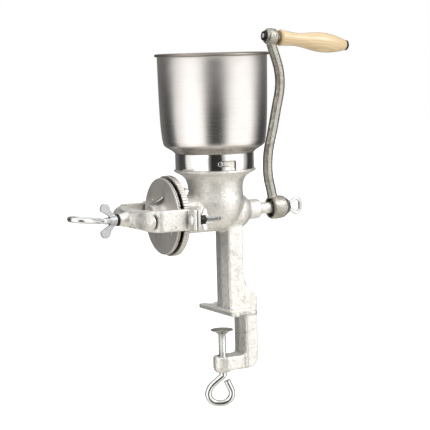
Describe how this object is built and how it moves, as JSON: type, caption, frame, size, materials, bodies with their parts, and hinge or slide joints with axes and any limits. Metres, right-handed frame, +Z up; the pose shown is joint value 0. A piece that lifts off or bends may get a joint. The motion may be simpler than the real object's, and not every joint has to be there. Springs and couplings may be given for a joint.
{
  "type": "hand crank grain and coffee grinder",
  "caption": "Table-clamp burr grinder: cast body, open steel hopper on a bayonet neck, worm and burrs, yoke with adjusting eye screw, swan-neck crank with wooden grip.",
  "frame": {"origin": "the rest plate's underside, on the clamp screw's axis, where the table's top meets it", "axes": "+Z up, towards the hopper; +X along the shaft, from the burrs to the crank; +Y away from the side that the picture shows"},
  "size_m": [0.3802, 0.136, 0.4519],
  "materials": {
    "cast_iron_tinned": "tinned cast iron, bright, orange-peel texture",
    "cast_iron_dark": "tinned cast iron, dull and grey",
    "burr_iron": "hard cast iron, matt grey-brown",
    "stainless_satin": "satin, brushed round the bowl",
    "stainless_polished": "mirror polish",
    "zinc_steel": "bright zinc plate",
    "pad_steel": "dark, half bright pressed steel",
    "black_steel": "blackened",
    "grip_wood": "clear varnish over a pale straight grain"
  },
  "bodies": {
    "frame": {"body_casting": "cast_iron_tinned", "bayonet_pin_near": "zinc_steel", "bayonet_pin_far": "zinc_steel", "stationary_burr": "burr_iron", "stationary_burr_screw_near": "zinc_steel", "stationary_burr_screw_far": "zinc_steel", "stationary_burr_nut_near": "zinc_steel", "stationary_burr_nut_far": "zinc_steel", "yoke": "cast_iron_tinned", "yoke_bolt_near": "zinc_steel", "yoke_bolt_far": "zinc_steel"},
    "hopper": {"hopper_bowl": "stainless_satin", "hopper_neck": "stainless_polished"},
    "thrust": {"thrust_ball": "zinc_steel"},
    "rotor": {"auger_shaft": "cast_iron_tinned", "burr_carrier": "burr_iron", "rotating_burr": "burr_iron", "rotating_burr_screw_near": "zinc_steel", "rotating_burr_screw_far": "zinc_steel", "lock_pin": "zinc_steel", "crank_arm": "cast_iron_dark", "handle_pin": "zinc_steel", "handle_cap": "black_steel", "handle_pin_nut": "black_steel"},
    "grip": {"handle_grip": "grip_wood"},
    "crank_screw_washer": {"crank_washer": "black_steel"},
    "crank_screw": {"crank_eye_screw": "zinc_steel"},
    "adjuster": {"adjusting_screw": "zinc_steel"},
    "lock_nut_washer": {"lock_washer": "black_steel"},
    "lock_nut": {"lock_wing_nut": "zinc_steel"},
    "near_nut_washer": {"yoke_washer_near": "black_steel"},
    "near_nut": {"yoke_wing_nut_near": "zinc_steel"},
    "far_nut_washer": {"yoke_washer_far": "black_steel"},
    "far_nut": {"yoke_wing_nut_far": "zinc_steel"},
    "pad": {"clamp_pad": "pad_steel"},
    "clamp": {"clamp_screw": "zinc_steel"}
  },
  "joints": [
    {"name": "hopper_turn", "type": "hinge", "parent": "frame", "child": "hopper", "pos_m": [-0.004, 0, 0.182], "axis": [0, 0, 1], "range_deg": [-20, 0]},
    {"name": "grind_gap", "type": "slide", "parent": "frame", "child": "thrust", "axis": [1, 0, 0], "range_m": [-0.002, 0.0024]},
    {"name": "crank_turn", "type": "hinge", "parent": "thrust", "child": "rotor", "pos_m": [-0.004, 0, 0.122], "axis": [1, 0, 0], "continuous": true},
    {"name": "handle_spin", "type": "hinge", "parent": "rotor", "child": "grip", "pos_m": [0.0767, 0, 0.3275], "axis": [0.9925, 0, -0.1219], "continuous": true},
    {"name": "crank_screw_back_off", "type": "slide", "parent": "rotor", "child": "crank_screw_washer", "axis": [1, 0, 0], "range_m": [0, 0.004]},
    {"name": "crank_screw_turn", "type": "hinge", "parent": "crank_screw_washer", "child": "crank_screw", "pos_m": [0.096, 0, 0.122], "axis": [1, 0, 0], "range_deg": [0, 1801]},
    {"name": "adjusting_screw_turn", "type": "hinge", "parent": "thrust", "child": "adjuster", "pos_m": [-0.134, 0, 0.122], "axis": [1, 0, 0], "range_deg": [-481, 577]},
    {"name": "lock_nut_back_off", "type": "slide", "parent": "frame", "child": "lock_nut_washer", "axis": [-1, 0, 0], "range_m": [0, 0.0015]},
    {"name": "lock_nut_turn", "type": "hinge", "parent": "lock_nut_washer", "child": "lock_nut", "pos_m": [-0.134, 0, 0.122], "axis": [-1, 0, 0], "range_deg": [0, 361]},
    {"name": "near_nut_back_off", "type": "slide", "parent": "frame", "child": "near_nut_washer", "axis": [1, 0, 0], "range_m": [0, 0.008]},
    {"name": "near_nut_turn", "type": "hinge", "parent": "near_nut_washer", "child": "near_nut", "pos_m": [-0.054, -0.0609, 0.122], "axis": [1, 0, 0], "range_deg": [0, 2881]},
    {"name": "far_nut_back_off", "type": "slide", "parent": "frame", "child": "far_nut_washer", "axis": [1, 0, 0], "range_m": [0, 0.008]},
    {"name": "far_nut_turn", "type": "hinge", "parent": "far_nut_washer", "child": "far_nut", "pos_m": [-0.054, 0.0609, 0.122], "axis": [1, 0, 0], "range_deg": [0, 2881]},
    {"name": "clamp_pad_lift", "type": "slide", "parent": "frame", "child": "pad", "axis": [0, 0, 1], "range_m": [-0.021, 0.003]},
    {"name": "clamp_screw_turn", "type": "hinge", "parent": "pad", "child": "clamp", "pos_m": [0, 0, -0.058], "axis": [0, 0, 1], "range_deg": [-5041, 721]}
  ],
  "couplings": [
    {"joint": "adjusting_screw_turn", "follows": "grind_gap", "rad_per_m": 4188.8},
    {"joint": "clamp_screw_turn", "follows": "clamp_pad_lift", "rad_per_m": 4188.8},
    {"joint": "lock_nut_turn", "follows": "lock_nut_back_off", "rad_per_m": 4188.8},
    {"joint": "near_nut_turn", "follows": "near_nut_back_off", "rad_per_m": 6283.2},
    {"joint": "far_nut_turn", "follows": "far_nut_back_off", "rad_per_m": 6283.2},
    {"joint": "crank_screw_turn", "follows": "crank_screw_back_off", "rad_per_m": 7854}
  ]
}
